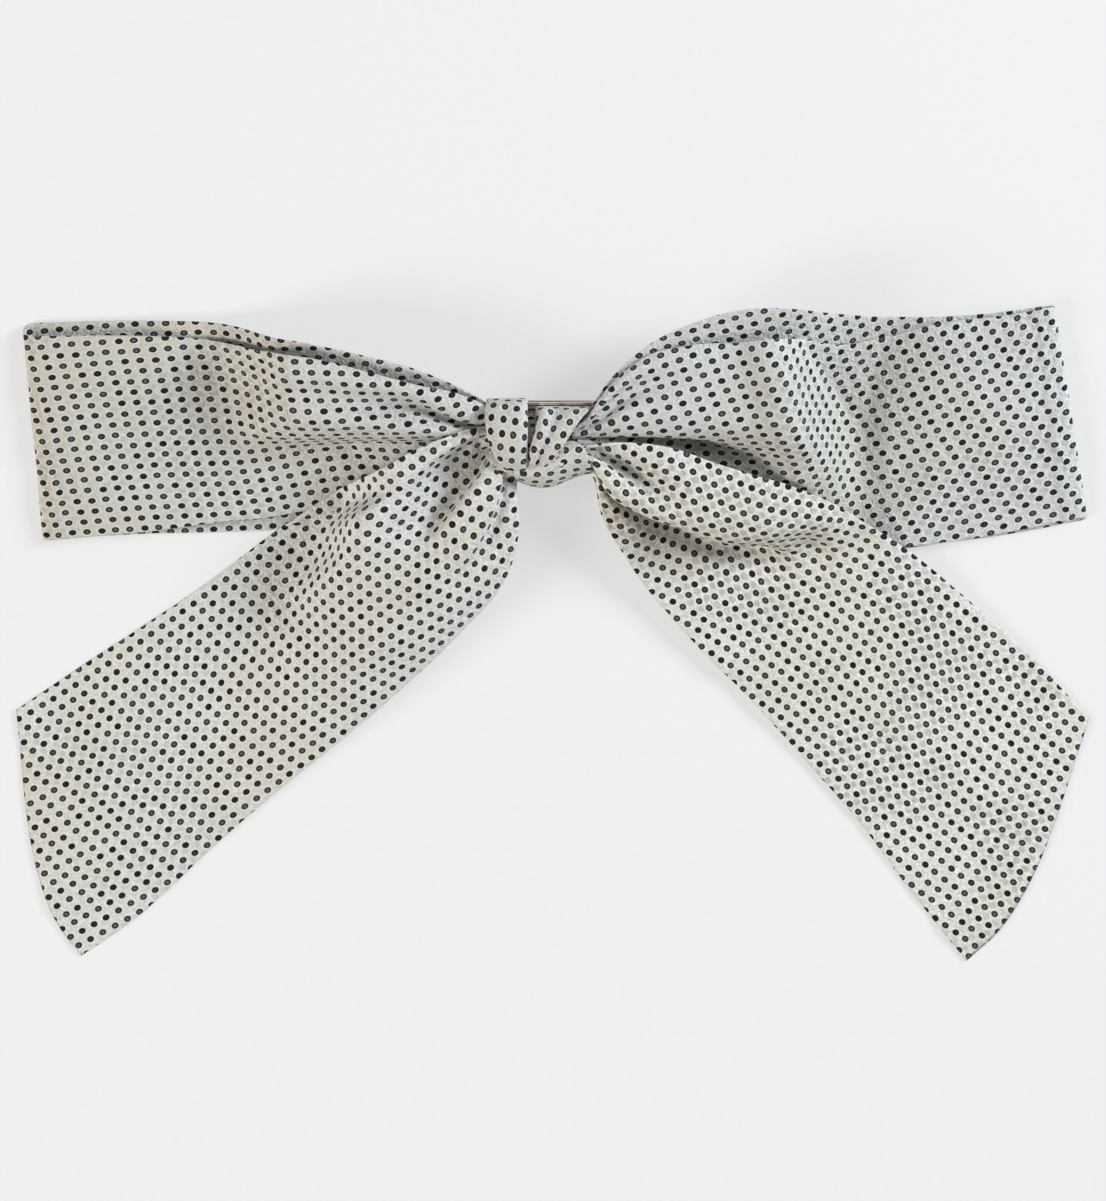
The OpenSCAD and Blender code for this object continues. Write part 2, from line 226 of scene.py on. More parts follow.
def ends(array, step):
    """The two ends of every link of that step in the grid."""
    di, dj = step
    rows, cols = array.shape[:2]
    if dj >= 0:
        return array[:rows - di, :cols - dj], array[di:, dj:]
    return array[:rows - di, -dj:], array[di:, :cols + dj]


def stretch_push(shape, links, rest, squeeze=1.0):
    """How every point is pushed by the links round it that are too long or too short."""
    push = np.zeros_like(shape)
    for (step, weight), length in zip(links, rest):
        a, b = ends(shape, step)
        gap = b - a
        size = np.linalg.norm(gap, axis=-1) + 1e-9
        share = np.where(size < length, squeeze, 1.0)
        pull = (weight * 0.5 * share * (size - length) / size)[..., None] * gap
        to_a, to_b = ends(push, step)
        to_a += pull
        to_b -= pull
    return push


def rest_lengths(flat, links):
    """Length of every link on the flat cloth."""
    return [np.linalg.norm(np.subtract(*ends(flat, step)), axis=-1) for step, _ in links]


def unfold(grid):
    """Cloth coordinates of a surface, in mm: as near to its own lengths as a flat sheet can be."""
    rows, cols = grid.shape[:2]
    by_row = np.linalg.norm(np.diff(grid, axis=0), axis=2).mean(axis=1)
    by_col = np.linalg.norm(np.diff(grid, axis=1), axis=2)
    across = np.hstack([np.zeros((rows, 1)), np.cumsum(by_col, axis=1)])
    across -= across[:, cols // 2][:, None]
    along = np.concatenate([[0], np.cumsum(by_row)])
    flat = np.stack([np.broadcast_to(along[:, None], (rows, cols)), across], axis=-1)
    for stride in (6, 3, 2, 1):
        r = np.append(np.arange(0, rows - 1, stride), rows - 1)
        c = np.append(np.arange(0, cols - 1, stride), cols - 1)
        rest = rest_lengths(grid[np.ix_(r, c)], LINKS)
        start = flat[np.ix_(r, c)]
        relaxed = start.copy()
        for _ in range(UNFOLD_STEPS):
            relaxed += RELAX * stretch_push(relaxed, LINKS, rest)
        row_at = np.interp(np.arange(rows), r, np.arange(len(r)))
        col_at = np.interp(np.arange(cols), c, np.arange(len(c)))
        at = np.stack(np.meshgrid(row_at, col_at, indexing="ij"), axis=-1)
        flat = flat + sample(relaxed - start, at)
    return flat


def settle(grid, flat, hold, ground, upper_rows=None):
    """Lets the cloth find its flat lengths, held near its laid shape and above the ground.

    upper_rows are the first and last row of a loop's upper layer, which rests on its lower one.
    """
    shape = grid.copy()
    links = LINKS + BEND_LINKS
    rest = rest_lengths(flat, links)
    for n in range(SETTLE_STEPS):
        shape += RELAX * stretch_push(shape, links, rest, SQUEEZE)
        shape += hold[..., None] * (grid - shape)
        if n % LIFT_EVERY == 0 or n == SETTLE_STEPS - 1:
            lift = ground.under(shape) + CLEAR * 0.5
            if upper_rows is not None:
                own = ground.with_cloth(shape[:upper_rows[0]])
                upper = slice(*upper_rows)
                lift[upper] = np.maximum(lift[upper], own.under(shape[upper]) + CLEAR)
            shape[..., 2] = np.maximum(shape[..., 2], lift)
    return shape


def rippled(grid, seed):
    """The grid with slight uneven heights, which tell the cloth which way to buckle."""
    rng = np.random.default_rng(seed)
    bumps = np.zeros(grid.shape[:2])
    for _ in range(RIPPLE_WAVES):
        kx, ky = rng.uniform(-0.5, 0.5, 2)
        bumps += np.sin(grid[..., 0] * kx + grid[..., 1] * ky + rng.uniform(0, 6.28))
    moved = grid.copy()
    moved[..., 2] += bumps * RIPPLE_HEIGHT
    return moved


# ------------------------------------------------------------------ meshes
def normals_of(grid):
    """Unit normals at the points of a grid."""
    along = np.gradient(grid, axis=0)
    across = np.gradient(grid, axis=1)
    n = np.cross(along, across)
    n /= np.linalg.norm(n, axis=-1, keepdims=True) + 1e-12
    return n


def mesh_piece(name, vertices, faces, uv):
    """A smooth mesh object whose cloth coordinates, in mm, are in its Print map."""
    mesh = bpy.data.meshes.new(name)
    mesh.from_pydata(vertices.tolist(), [], faces)
    layer = mesh.uv_layers.new(name="Print")
    layer.data.foreach_set("uv", uv.astype(np.float32).ravel())
    mesh.polygons.foreach_set("use_smooth", np.ones(len(mesh.polygons), bool))
    mesh.validate()
    mesh.update()
    piece = bpy.data.objects.new(name, mesh)
    bpy.context.scene.collection.objects.link(piece)
    return piece


def sash_mesh(name, grid, flat, spacing):
    """A flattened tube of cloth round the grid: two plies that meet in rounded folded edges."""
    width = mean_size(grid, 1)
    length = mean_size(grid, 0)
    rows = int(length / spacing) + 1
    inner = np.linspace(EDGE_ROLL, width - EDGE_ROLL, int(width / spacing))
    rim = np.array([0.0, 0.12, 0.36]) * EDGE_ROLL
    across = np.concatenate([rim, inner, width - rim[::-1]]) / width
    along = np.linspace(0, 1, rows)
    old_rows, old_cols = np.linspace(0, 1, grid.shape[0]), np.linspace(0, 1, grid.shape[1])
    both = np.concatenate([grid, flat], axis=2)
    both = through(old_rows, both, along)
    both = through(old_cols, both.transpose(1, 0, 2), across).transpose(1, 0, 2)
    points, cloth = both[..., :3], both[..., 3:]
    inset = np.minimum(across, 1 - across) * width
    from_end = np.minimum(along, 1 - along) * length
    near = np.clip(np.minimum(inset[None, :], from_end[:, None]) / EDGE_ROLL, 0, 1)
    thick = PLY_HALF * np.sqrt(1 - (1 - near) ** 2)
    offset = normals_of(points) * thick[..., None]
    count_r, count_c = points.shape[:2]
    index = np.arange(count_r * count_c).reshape(count_r, count_c)
    inside = near > 0
    under = index.copy()
    under[inside] = count_r * count_c + np.arange(int(inside.sum()))
    vertices = np.vstack([(points + offset).reshape(-1, 3), (points - offset)[inside]]) * MM

    def quads(order, reverse):
        a, b = order[:-1, :-1], order[1:, :-1]
        c, d = order[1:, 1:], order[:-1, 1:]
        corners = [a, d, c, b] if reverse else [a, b, c, d]
        return np.stack([q.ravel() for q in corners], axis=1)

    faces = np.vstack([quads(index, False), quads(under, True)])
    wrapped = cloth * np.array([1.0, -1.0])
    uv = np.vstack([cloth.reshape(-1, 2)[quads(index, False).ravel()],
                    wrapped.reshape(-1, 2)[quads(index, True).ravel()]])
    return mesh_piece(name, vertices, faces.tolist(), uv)


def put_on(piece, material, node):
    """Gives a cloth piece its material and its place in the frame."""
    piece.data.materials.clear()
    piece.data.materials.append(material)
    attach(piece, "bow")
    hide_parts(node)


# ------------------------------------------------------------------ materials
class Nodes:
    """Short ways to add shader nodes; most return the new node's output."""

    def __init__(self, material):
        material.use_nodes = True
        self.tree = material.node_tree
        self.tree.nodes.clear()

    def add(self, kind, **settings):
        node = self.tree.nodes.new(kind)
        for key, value in settings.items():
            setattr(node, key, value)
        return node

    def feed(self, socket, value):
        """Links or sets a socket; None leaves it alone."""
        if isinstance(value, bpy.types.NodeSocket):
            self.tree.links.new(value, socket)
        elif value is not None:
            socket.default_value = value

    def math(self, operation, a, b=None):
        node = self.add("ShaderNodeMath", operation=operation)
        for socket, value in zip(node.inputs, (a, b)):
            self.feed(socket, value)
        return node.outputs[0]

    def vector(self, operation, a, b=None, out=0):
        node = self.add("ShaderNodeVectorMath", operation=operation)
        for socket, value in zip(node.inputs, (a, b)):
            self.feed(socket, value)
        return node.outputs[out]

    def mix(self, factor, a, b):
        """Colour a where the factor is 0, colour b where it is 1."""
        node = self.add("ShaderNodeMix", data_type="RGBA")
        self.feed(node.inputs[0], factor)
        self.feed(node.inputs[6], a)
        self.feed(node.inputs[7], b)
        return node.outputs[2]

    def step(self, value, low, high, out_low=0.0, out_high=1.0):
        """A soft step from out_low to out_high while value goes from low to high."""
        node = self.add("ShaderNodeMapRange", interpolation_type="SMOOTHSTEP")
        for socket, number in zip(node.inputs, (value, low, high, out_low, out_high)):
            self.feed(socket, number)
        return node.outputs[0]

    def noise(self, where, scale, detail=2.0, roughness=0.5):
        node = self.add("ShaderNodeTexNoise")
        self.feed(node.inputs["Vector"], where)
        node.inputs["Scale"].default_value = scale
        node.inputs["Detail"].default_value = detail
        node.inputs["Roughness"].default_value = roughness
        return node.outputs["Fac"]

    def principled(self, colour, roughness, normal=None, **constants):
        shader = self.add("ShaderNodeBsdfPrincipled")
        self.feed(shader.inputs["Base Color"], colour)
        self.feed(shader.inputs["Roughness"], roughness)
        if normal is not None:
            self.feed(shader.inputs["Normal"], normal)
        for name, value in constants.items():
            shader.inputs[name.replace("_", " ")].default_value = value
        return shader.outputs[0]

    def finish(self, surface):
        out = self.add("ShaderNodeOutputMaterial")
        self.tree.links.new(surface, out.inputs[0])

    def bump(self, height, distance, strength=1.0):
        node = self.add("ShaderNodeBump")
        self.feed(node.inputs["Height"], height)
        node.inputs["Distance"].default_value = distance
        node.inputs["Strength"].default_value = strength
        return node.outputs[0]


DOT_SIZE = 0.79                 # mean of a printed dot's half length and half width, in mm
DOT_NUDGE = 0.07                # how far a dot strays from its place, in cells of the print


def print_place(n, cloth, steps):
    """Cloth coordinates in cells of the dot print, whose two steps are given in mm."""
    turn = np.linalg.inv(np.array(steps, float))
    across = n.vector("DOT_PRODUCT", cloth, (turn[0, 0], turn[1, 0], 0), out=1)
    up = n.vector("DOT_PRODUCT", cloth, (turn[0, 1], turn[1, 1], 0), out=1)
    cells = n.add("ShaderNodeCombineXYZ")
    n.feed(cells.inputs[0], across)
    n.feed(cells.inputs[1], up)
    return cells.outputs[0]


def printed_dots(n, cells, steps, oval, soft):
    """Mask of the printed dots, the distance from a dot's middle (1 at its rim), and its chance number.

    The dots are ovals, longer along the print's first step: oval is length over width. soft is
    how blurred their rim is.
    """
    cell = n.vector("FLOOR", n.vector("ADD", cells, (0.5, 0.5, 0.0)))
    chance = n.add("ShaderNodeTexWhiteNoise", noise_dimensions="2D")
    n.feed(chance.inputs["Vector"], cell)
    nudge = n.vector("SCALE", n.vector("SUBTRACT", chance.outputs["Color"], (0.5, 0.5, 0.5)))
    nudge.node.inputs["Scale"].default_value = DOT_NUDGE
    off = n.vector("ADD", n.vector("SUBTRACT", cells, cell), nudge)
    long_way = np.array(steps[0]) / np.linalg.norm(steps[0])
    short_way = np.array([-long_way[1], long_way[0]]) * math.sqrt(oval) / DOT_SIZE
    long_way = long_way / math.sqrt(oval) / DOT_SIZE
    x = n.vector("DOT_PRODUCT", off, (*(np.array(steps) @ long_way), 0), out=1)
    y = n.vector("DOT_PRODUCT", off, (*(np.array(steps) @ short_way), 0), out=1)
    far = n.math("SQRT", n.math("ADD", n.math("MULTIPLY", x, x), n.math("MULTIPLY", y, y)))
    return n.step(far, 1 - soft, 1 + soft, 1.0, 0.0), far, chance.outputs["Value"]


def sash_material(name, steps, oval, ghosts, pale, warm):
    """Sheer off-white crepe printed with dots, whose under ply shows its own dots faintly.

    ghosts is how strongly the under ply's dots show, pale how much paler the cloth is painted, as
    painted light and shade, and warm how much warmer.
    """
    material = bpy.data.materials.new(name)
    n = Nodes(material)
    place = n.add("ShaderNodeTexCoord").outputs["Object"]
    cloth = n.add("ShaderNodeUVMap", uv_map="Print").outputs[0]
    cells = print_place(n, cloth, steps)

    # The crepe: bluish and warm patches, a dark grain and pale threads.
    grain = n.step(n.noise(place, 1500.0, 3.0, 0.75), 0.34, 0.66)
    threads = n.step(n.noise(n.vector("MULTIPLY", cloth, (7.0, 3.0, 1.0)), 1.0, 2.0, 0.6), 0.3, 0.7)
    patches = n.step(n.noise(place, 20.0, 2.0), 0.36, 0.64)
    # pale lifts or lowers the whole colour: painted light and shade for this part of the sash.
    base = n.mix(patches, (0.60 + pale + warm, 0.62 + pale, 0.63 + pale - warm, 1),
                 (0.55 + pale + warm, 0.53 + pale, 0.465 + pale - warm, 1))
    base = n.mix(n.math("MULTIPLY", grain, 0.62), base, (0.33, 0.325, 0.31, 1))
    base = n.mix(n.math("MULTIPLY", threads, 0.34), base, (0.88, 0.87, 0.85, 1))

    # The under ply's print, a little out of step, which shows in places.
    wander = n.add("ShaderNodeTexNoise")
    n.feed(wander.inputs["Vector"], cells)
    wander.inputs["Scale"].default_value = 0.12
    shift = n.vector("ADD", wander.outputs["Color"], (0.13, 0.05, 0.0))
    under, _, _ = printed_dots(n, n.vector("ADD", cells, shift), steps, oval, 0.25)
    seen_through = n.math("MULTIPLY", under, n.step(n.noise(place, 30.0), 0.45, 0.62, 0.03, ghosts))
    base = n.mix(seen_through, base, (0.16, 0.16, 0.155, 1))

    # The print on top: a pale ring round each dot, and ink that is thin in the middle.
    dots, far, chance = printed_dots(n, cells, steps, oval, 0.13)
    ring = n.step(far, 1.05, 1.6, 0.3, 0.0)
    base = n.mix(ring, base, (0.82, 0.81, 0.78, 1))
    ink = n.mix(n.step(chance, 0.1, 0.95), (0.001, 0.001, 0.002, 1), (0.013, 0.013, 0.012, 1))
    core = n.math("MULTIPLY", n.step(far, 0.2, 0.7, 1.0, 0.0), n.step(chance, 0.1, 0.8, 0.05, 0.9))
    ink = n.mix(core, ink, (0.13, 0.13, 0.125, 1))
    ink = n.mix(n.math("MULTIPLY", grain, 0.25), ink, (0.05, 0.05, 0.047, 1))
    colour = n.mix(dots, base, ink)

    # The puckered surface.
    pucker = n.step(n.noise(place, 850.0, 2.0, 0.5), 0.3, 0.7)
    height = n.math("ADD", n.math("MULTIPLY", grain, 0.6), n.math("MULTIPLY", pucker, 0.9))
    normal = n.bump(height, 0.00022, 1.0)
    n.finish(n.principled(colour, 0.88, normal, Sheen_Weight=0.06, Sheen_Roughness=0.5,
                          Specular_IOR_Level=0.12))
    return material


def metal_material(name, colour, dark, roughness, grooves_with_shade=()):
    """Plated or bare metal with fine drawn lines, cloudy wear and rubbed spots, and painted shade in
    any pressed grooves.

    The grooves pressed along both long sides are given as (distance from the middle, half width); each
    is dented by a bump and painted nearly black as painted shade.
    """
    material = bpy.data.materials.new(name)
    n = Nodes(material)
    place = n.add("ShaderNodeTexCoord").outputs["Object"]
    lines = n.noise(n.vector("MULTIPLY", place, (60.0, 2400.0, 2400.0)), 1.0, 3.0, 0.6)
    clouds = n.noise(place, 160.0, 3.0, 0.6)
    rubbed = n.step(n.noise(place, 420.0, 4.0, 0.7), 0.58, 0.72, 0.0, 0.4)
    tone = n.mix(n.step(clouds, 0.3, 0.7), colour, dark)
    tone = n.mix(rubbed, tone, (0.82, 0.78, 0.74, 1))
    height = lines
    if grooves_with_shade:
        split = n.add("ShaderNodeSeparateXYZ")
        n.feed(split.inputs[0], place)
        side = n.math("ABSOLUTE", split.outputs["Y"])
        for middle, half in grooves_with_shade:
            away = n.math("ABSOLUTE", n.math("SUBTRACT", side, middle * MM))
            groove_and_shade = n.step(away, half * 0.5 * MM, half * MM, 1.0, 0.0)
            # Painted shade: the groove is painted nearly black where shade would fall in it.
            tone = n.mix(n.math("MULTIPLY", groove_and_shade, 0.85), tone, (0.07, 0.05, 0.04, 1))
            height = n.math("SUBTRACT", height, n.math("MULTIPLY", groove_and_shade, 3.0))
    rough = n.math("ADD", n.math("MULTIPLY", lines, 0.16), n.math("MULTIPLY", clouds, 0.12))
    rough = n.math("ADD", rough, roughness - 0.14)
    n.finish(n.principled(tone, rough, n.bump(height, 0.00003, 0.4), Metallic=1.0))
    return material


def thread_material():
    """Spun thread: a twist of fine strands."""
    material = bpy.data.materials.new("sewing thread")
    n = Nodes(material)
    place = n.add("ShaderNodeTexCoord").outputs["Object"]
    wave = n.add("ShaderNodeTexWave", wave_type="BANDS", bands_direction="DIAGONAL")
    n.feed(wave.inputs["Vector"], place)
    wave.inputs["Scale"].default_value = 1500.0
    wave.inputs["Distortion"].default_value = 1.5
    fuzz = n.noise(place, 3000.0, 2.0)
    tone = n.mix(fuzz, (0.66, 0.64, 0.58, 1), (0.42, 0.40, 0.36, 1))
    n.finish(n.principled(tone, 0.85, n.bump(wave.outputs["Fac"], 0.00006, 0.8), Sheen_Weight=0.2))
    return material


def floor_material():
    """Pale matte board, left out when it is looked at from underneath."""
    material = bpy.data.materials.new("pale board")
    n = Nodes(material)
    place = n.add("ShaderNodeTexCoord").outputs["Object"]
    grain = n.noise(place, 700.0, 3.0)
    tone = n.mix(grain, (0.22, 0.22, 0.22, 1), (0.25, 0.25, 0.25, 1))
    board = n.principled(tone, 0.95, None, Specular_IOR_Level=0.1, Emission_Strength=0.565,
                         Emission_Color=(1, 1, 1, 1))
    choice = n.add("ShaderNodeMixShader")
    n.feed(choice.inputs[0], n.add("ShaderNodeNewGeometry").outputs["Backfacing"])
    n.feed(choice.inputs[1], board)
    n.feed(choice.inputs[2], n.add("ShaderNodeBsdfTransparent").outputs[0])
    n.finish(choice.outputs[0])
    return material


# ------------------------------------------------------------------ camera, floor and light
def make_camera():
    """The camera at the photograph's angle, with its long side along the picture's height."""
    data = bpy.data.cameras.new("camera")
    camera = bpy.data.objects.new("camera", data)
    bpy.context.scene.collection.objects.link(camera)
    bpy.context.scene.camera = camera
    tall = VIEW_WIDE * PICTURE[1] / PICTURE[0]
    data.sensor_width = SENSOR
    data.lens = SENSOR * CAMERA_FAR / tall
    data.clip_start = 0.01
    data.clip_end = 20.0
    target = Vector(from_seen([VIEW_MID[0], VIEW_MID[1], 0.0]) * MM)
    back = Vector((0.0, math.sin(TILT), math.cos(TILT)))
    up = Vector((0.0, math.cos(TILT), -math.sin(TILT)))
    camera.location = target + back * CAMERA_FAR * MM
    right = up.cross(back)
    camera.rotation_euler = Matrix((right, up, back)).transposed().to_euler()


def make_floor():
    """The board that the bow lies on."""
    mesh = bpy.data.meshes.new("floor")
    corners = [(x * FLOOR_HALF, y * FLOOR_HALF, 0) for x, y in ((-1, -1), (1, -1), (1, 1), (-1, 1))]
    mesh.from_pydata(corners, [], [(0, 1, 2, 3)])
    floor = bpy.data.objects.new("floor", mesh)
    bpy.context.scene.collection.objects.link(floor)
    mesh.materials.append(floor_material())


def area_light(name, place, size, power, colour):
    """A round soft lamp; its place and size are in metres."""
    data = bpy.data.lights.new(name, "AREA")
    data.shape = "DISK"
    data.size = size
    data.energy = power
    data.color = colour
    light = bpy.data.objects.new(name, data)
    bpy.context.scene.collection.objects.link(light)
    light.location = place
    aim = Vector(LIGHT_AIM) - Vector(place)
    light.rotation_euler = aim.to_track_quat("-Z", "Y").to_euler()


def make_light():
    """A dim sky, a cool lamp from the right and a warm one from the left."""
    world = bpy.data.worlds.new("studio")
    bpy.context.scene.world = world
    world.use_nodes = True
    sky = world.node_tree.nodes["Background"]
    sky.inputs["Color"].default_value = (1.0, 0.988, 0.955, 1)
    sky.inputs["Strength"].default_value = 0.36
    area_light("key", (1.05, 0.5, 0.64), 0.5, 22.8, (0.86, 0.945, 1.0))
    area_light("fill", (-1.15, -0.45, 0.64), 0.6, 17.0, (1.0, 0.955, 0.875))
    bpy.context.scene.view_settings.view_transform = "Standard"


# ------------------------------------------------------------------ the sash
# Outlines are (x, seen y) at stations along each strip, from the knot outwards. A fold line is
# (share of the flat width, share of the seen width, height), one number or one for each station.

LEFT_TOP = [(-8, 4.5), (-12.5, 7.5), (-18.5, 10), (-28, 12), (-39.5, 15), (-52, 18), (-59, 19),
            (-64.5, 20.5), (-70, 22), (-90, 23.5), (-116.5, 23.5)]
LEFT_BOTTOM = [(-8, 2), (-12.5, 1.5), (-18, -1.5), (-27, -6.5), (-38.5, -12), (-51, -15.5), (-58, -17),
               (-64, -18), (-70, -18.5), (-89.5, -21), (-111.5, -23)]
LEFT_FOLDS = [
    (0.00, 0.0, [15, 15.5, 17, 17.5, 17.5, 17.5, 17, 10.5, 4.5, 3.6, 3]),
    (0.10, [0.5, 0.6, 0.4, 0.12, 0.1, 0.1, 0.1, 0.1, 0.1, 0.1, 0.1],
     [14.5, 15.5, 17, 18, 18, 18, 17, 10, 4.5, 3.8, 3.2]),
    (0.28, [0.6, 0.7, 0.55, 0.3, 0.27, 0.26, 0.26, 0.27, 0.27, 0.28, 0.28],
     [13, 12.5, 12.5, 14, 15, 15.5, 15, 9.5, 5, 3.9, 3.2]),
    (0.44, [0.7, 0.8, 0.75, 0.57, 0.47, 0.46, 0.44, 0.44, 0.44, 0.45, 0.46],
     [13, 13.5, 15.5, 17.5, 17, 16, 14, 9.5, 5.5, 3.9, 3.2]),
    (0.49, [0.74, 0.84, 0.83, 0.65, 0.55, 0.53, 0.51, 0.5, 0.49, 0.49, 0.5],
     [13, 13, 13.5, 14.5, 13.5, 12.5, 11.5, 8.5, 5.5, 3.9, 3.2]),
    (0.55, [0.78, 0.88, 0.86, 0.68, 0.57, 0.55, 0.54, 0.54, 0.54, 0.54, 0.55],
     [12.5, 12, 11, 9.5, 8, 7.5, 7.2, 6.2, 5, 3.9, 3.2]),
    (0.76, [0.88, 0.93, 0.92, 0.82, 0.78, 0.77, 0.77, 0.77, 0.77, 0.77, 0.77],
     [12.5, 12, 11, 8.5, 5.5, 4.6, 4.6, 4.6, 4.3, 3.6, 3]),
    (1.00, 1.0, [12.5, 12, 11, 7, 4, 3.4, 3.2, 3.2, 3.2, 2.8, 2.6]),
]
LEFT_BACK_TOP = [(-8, 5), (-12.5, 8.5), (-18.5, 11.5), (-28, 15.5), (-39.5, 18.5), (-53, 21.5),
                 (-61, 23), (-69, 25.5), (-90, 27), (-116.5, 26.5)]
LEFT_BACK_BOTTOM = [(-8, 2), (-12.5, 1), (-18, -2.5), (-27, -8.5), (-38.5, -14), (-52, -18),
                    (-60, -20.5), (-68, -21), (-89.5, -21.5), (-113.5, -23)]
LEFT_BACK_FOLDS = [
    (0.00, 0.0, [14.5, 15, 15.5, 16, 16, 15.5, 14, 6, 1.6, 0.8]),
    (0.15, 0.15, [14, 14.5, 14.8, 14.5, 14, 12.5, 10.5, 4, 1, 0.6]),
    (0.50, 0.5, [13, 13, 12.6, 11, 6, 3, 1.8, 1, 0.6, 0.6]),
    (1.00, 1.0, [12.5, 12, 10.5, 6, 2.4, 1.4, 1, 0.7, 0.6, 0.6]),
]

RIGHT_TOP = [(6.5, 1.5), (11, 5.5), (14.5, 10.5), (23, 18), (34.5, 21), (44, 21.5), (55, 22.5),
             (61, 22.6), (67.5, 22.5), (79, 23.5), (92, 26.5), (105.5, 28), (116, 30)]
RIGHT_BOTTOM = [(7, -0.5), (11.2, -2), (15, -3.5), (23.5, -7.5), (35, -12), (49, -16.2), (63, -20.6),
                (67.5, -22), (72.5, -23), (82, -24.5), (94, -23.5), (109, -21), (124, -18)]
RIGHT_FOLDS = [
    (0.00, 0.0, [17, 17, 16.5, 17, 17.5, 18, 18.5, 11, 3.6, 3.6, 3.6, 3, 2.6]),
    (0.10, [0.15, 0.15, 0.14, 0.1, 0.1, 0.1, 0.1, 0.1, 0.1, 0.1, 0.1, 0.1, 0.1],
     [17.5, 18, 18, 18.5, 18.5, 18.5, 19.5, 11, 3.6, 3.8, 3.8, 3.2, 2.7]),
    (0.20, [0.3, 0.28, 0.3, 0.25, 0.22, 0.22, 0.21, 0.2, 0.2, 0.2, 0.2, 0.2, 0.2],
     [17, 15.5, 13.5, 16, 18.5, 19, 20, 11, 3.8, 3.8, 3.8, 3.2, 2.7]),
    (0.30, [0.5, 0.5, 0.49, 0.38, 0.34, 0.33, 0.32, 0.31, 0.3, 0.3, 0.3, 0.3, 0.3],
     [17.5, 17.5, 17.5, 18.5, 19, 19, 20, 11.5, 3.8, 3.8, 3.8, 3.2, 2.7]),
    (0.46, [0.62, 0.62, 0.64, 0.62, 0.57, 0.53, 0.48, 0.47, 0.46, 0.46, 0.46, 0.46, 0.46],
     [17, 17, 17, 18, 18.5, 19, 20, 12, 4, 3.8, 3.8, 3.2, 2.7]),
    (0.53, [0.66, 0.68, 0.71, 0.685, 0.635, 0.6, 0.56, 0.54, 0.53, 0.53, 0.53, 0.53, 0.53],
     [16.5, 16, 15.5, 16, 16, 16.5, 19, 12.5, 4.2, 3.8, 3.8, 3.2, 2.7]),
    (0.59, [0.68, 0.7, 0.72, 0.68, 0.635, 0.64, 0.62, 0.6, 0.59, 0.59, 0.59, 0.59, 0.59],
     [16, 14.5, 12.5, 11, 11.5, 13.5, 17, 12.5, 4.4, 3.8, 3.8, 3.2, 2.7]),
    (0.80, [0.85, 0.86, 0.87, 0.83, 0.81, 0.81, 0.8, 0.8, 0.8, 0.8, 0.8, 0.8, 0.8],
     [16, 14, 10.5, 8.5, 9, 11, 12.5, 9, 5.2, 4, 3.5, 3, 2.6]),
    (1.00, 1.0, [15.5, 13.5, 10.5, 7.5, 6, 5.5, 5.2, 4.6, 3.8, 3.2, 2.8, 2.4, 2.2]),
]
RIGHT_BACK_TOP = [(6.5, 2.5), (11, 6.5), (14.7, 12), (23, 20), (34.5, 26), (46, 29), (55, 29.5),
                  (67.5, 28.5), (78, 28), (92, 28), (105.5, 29), (116, 30.5)]
RIGHT_BACK_BOTTOM = [(7, -0.5), (11.5, -1.5), (15, -3.5), (23.5, -7.5), (35, -12), (47, -15.5),
                     (56.5, -19), (69, -23.5), (80.5, -25), (94, -23.5), (109, -21.5), (124.5, -18.5)]
RIGHT_BACK_FOLDS = [
    (0.00, 0.0, [15.5, 15.5, 15.5, 16, 16.5, 16.5, 15.5, 8, 3, 1.2, 0.8, 0.7]),
    (0.15, 0.15, [15, 15, 14.8, 15, 15, 14.5, 12.5, 6, 2, 1, 0.6, 0.6]),
    (0.50, 0.5, [12.5, 13, 12.6, 11.6, 9, 5.5, 3.4, 1.4, 0.6, 0.6, 0.6, 0.6]),
    (1.00, 1.0, [12, 11.5, 10, 6.5, 4, 2, 1.2, 0.8, 0.6, 0.6, 0.6, 0.6]),
]

